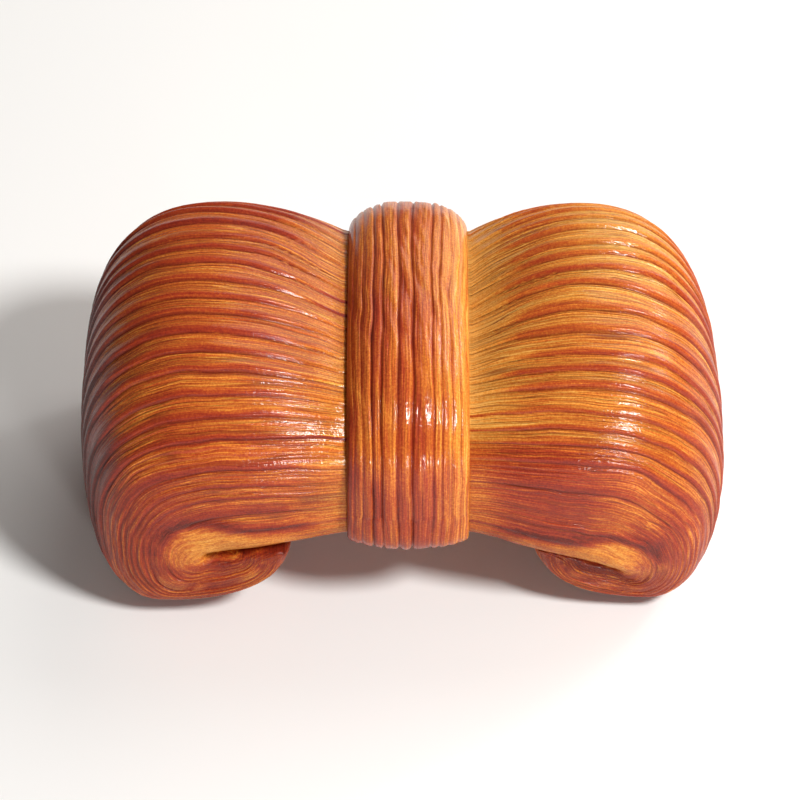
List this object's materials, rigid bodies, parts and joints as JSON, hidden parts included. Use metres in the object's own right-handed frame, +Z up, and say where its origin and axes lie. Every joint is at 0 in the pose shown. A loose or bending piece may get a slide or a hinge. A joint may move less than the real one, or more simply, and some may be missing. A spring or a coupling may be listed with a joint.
{
  "type": "bow-shaped croissant",
  "caption": "Bow-shaped croissant of ribbed laminated dough, pinched in the middle by a wrapped dough band, with its ends curled under into rolls, baked to a glossy brown crust.",
  "frame": {"origin": "under the middle of the bow's box, on the surface that it rests on", "axes": "+X along the bow towards its right-hand loop as seen from the front, -Y towards the front, +Z up"},
  "size_m": [0.131, 0.0794, 0.0644],
  "materials": {
    "crust": "glazed baked crust",
    "band_crust": "glazed baked crust"
  },
  "bodies": {
    "root": {"ribbed_bow": "crust", "knot_band": "band_crust"}
  },
  "joints": []
}
